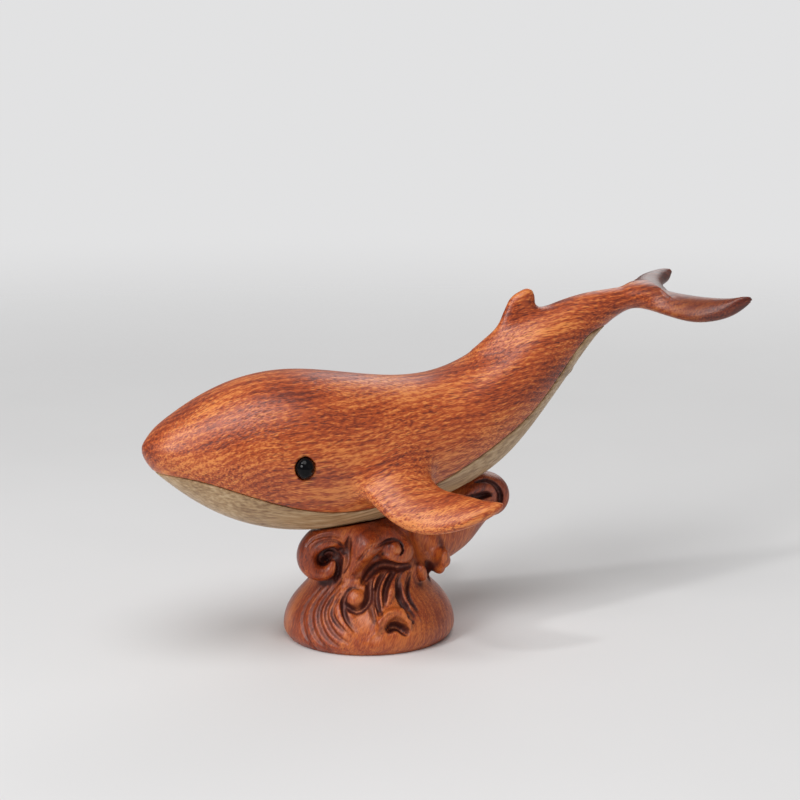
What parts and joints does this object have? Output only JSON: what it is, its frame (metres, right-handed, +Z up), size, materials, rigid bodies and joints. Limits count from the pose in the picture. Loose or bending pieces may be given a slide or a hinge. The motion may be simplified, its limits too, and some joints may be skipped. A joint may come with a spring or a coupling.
{
  "type": "whale figurine",
  "caption": "Carved wooden whale with a pale belly, lifting off a base of curling waves that cradles it on a hidden pin.",
  "frame": {"origin": "middle of the underside of the base's foot", "axes": "+Z up, -X towards the whale's head, +X towards its tail, -Y towards its left side"},
  "size_m": [0.2058, 0.095, 0.1068],
  "materials": {
    "red_wood": "oiled, semi-gloss",
    "pale_wood": "oiled, satin",
    "dowel_wood": "bare",
    "base_wood": "oiled, semi-gloss",
    "eye_black": "polished"
  },
  "bodies": {
    "base": {"wave_base": "base_wood", "mounting_pin": "dowel_wood"},
    "whale": {"whale_body": "red_wood", "belly_panel": "pale_wood", "pectoral_fin_left": "red_wood", "pectoral_fin_right": "red_wood", "fin_dowel_left": "dowel_wood", "fin_dowel_right": "dowel_wood", "eye_left": "eye_black", "eye_right": "eye_black"}
  },
  "joints": [
    {"name": "whale_lift", "type": "slide", "parent": "base", "child": "whale", "axis": [0, 0, 1], "range_m": [0, 0.03]}
  ]
}
